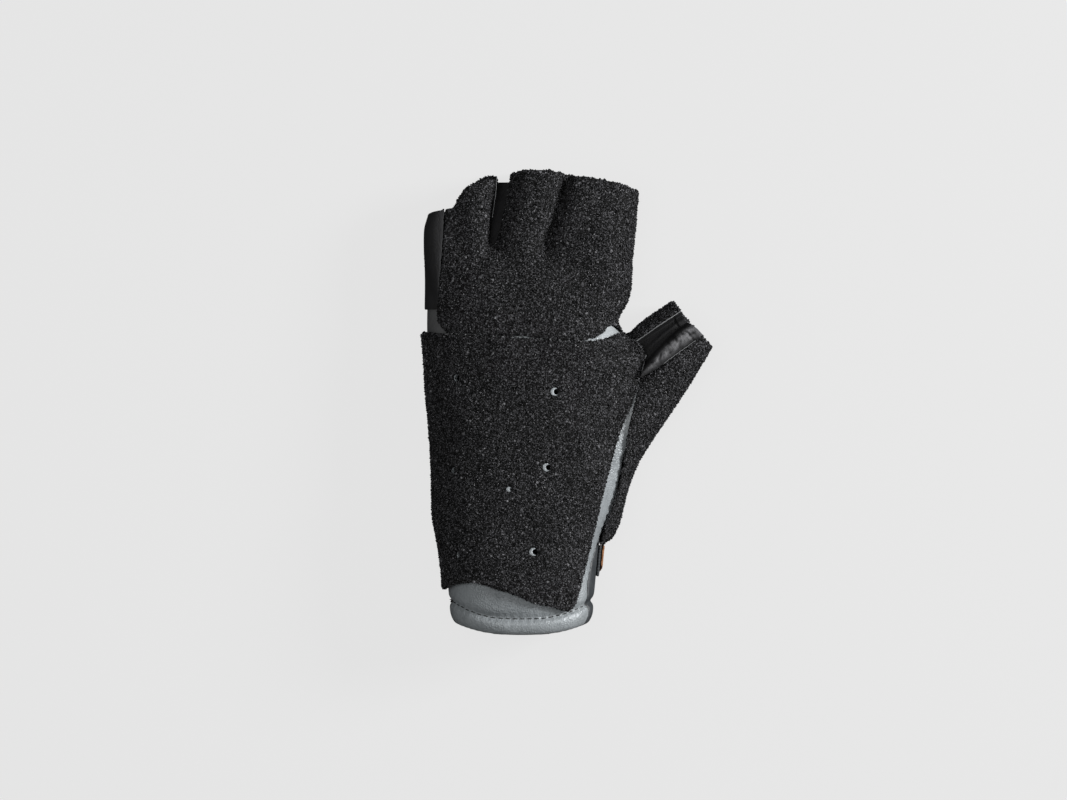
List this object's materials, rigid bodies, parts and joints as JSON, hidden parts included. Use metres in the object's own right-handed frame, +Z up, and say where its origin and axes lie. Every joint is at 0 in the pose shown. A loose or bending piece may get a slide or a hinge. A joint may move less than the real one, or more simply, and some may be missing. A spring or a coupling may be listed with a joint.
{
  "type": "fingerless target shooting glove",
  "caption": "Left-hand fingerless target-shooting glove in grey leather with thick crumb-rubber grip panels over hand, fingers and thumb, lying palm down.",
  "frame": {"origin": "on the surface the glove lies on, under the middle of its bounding box", "axes": "+X to the thumb side, +Y from the cuff to the finger ends, +Z up, out of the back of the hand"},
  "size_m": [0.138, 0.2208, 0.0508],
  "materials": {
    "silver_leather": "smooth silver-grey nappa leather with a soft sheen",
    "dark_leather": "dark grey leather, half matt",
    "black_leather": "smooth soft black leather",
    "crumb_rubber": "black crumb rubber, coarse and matt with fine pale specks",
    "strap_webbing": "black woven webbing",
    "rust_leather": "rust-brown leather, half matt"
  },
  "bodies": {
    "root": {"back_leather": "silver_leather", "palm_leather": "dark_leather", "wrist_pad": "crumb_rubber", "finger_grip": "crumb_rubber", "palm_grip": "crumb_rubber", "thumb_grip_front": "crumb_rubber", "thumb_grip_back": "crumb_rubber", "thumb_gusset": "black_leather", "little_finger_side": "black_leather", "fourchette_little_ring": "black_leather", "fourchette_ring_middle": "black_leather", "fourchette_middle_index": "black_leather", "wrist_strap": "strap_webbing", "strap_pull_tab": "rust_leather"}
  },
  "joints": []
}
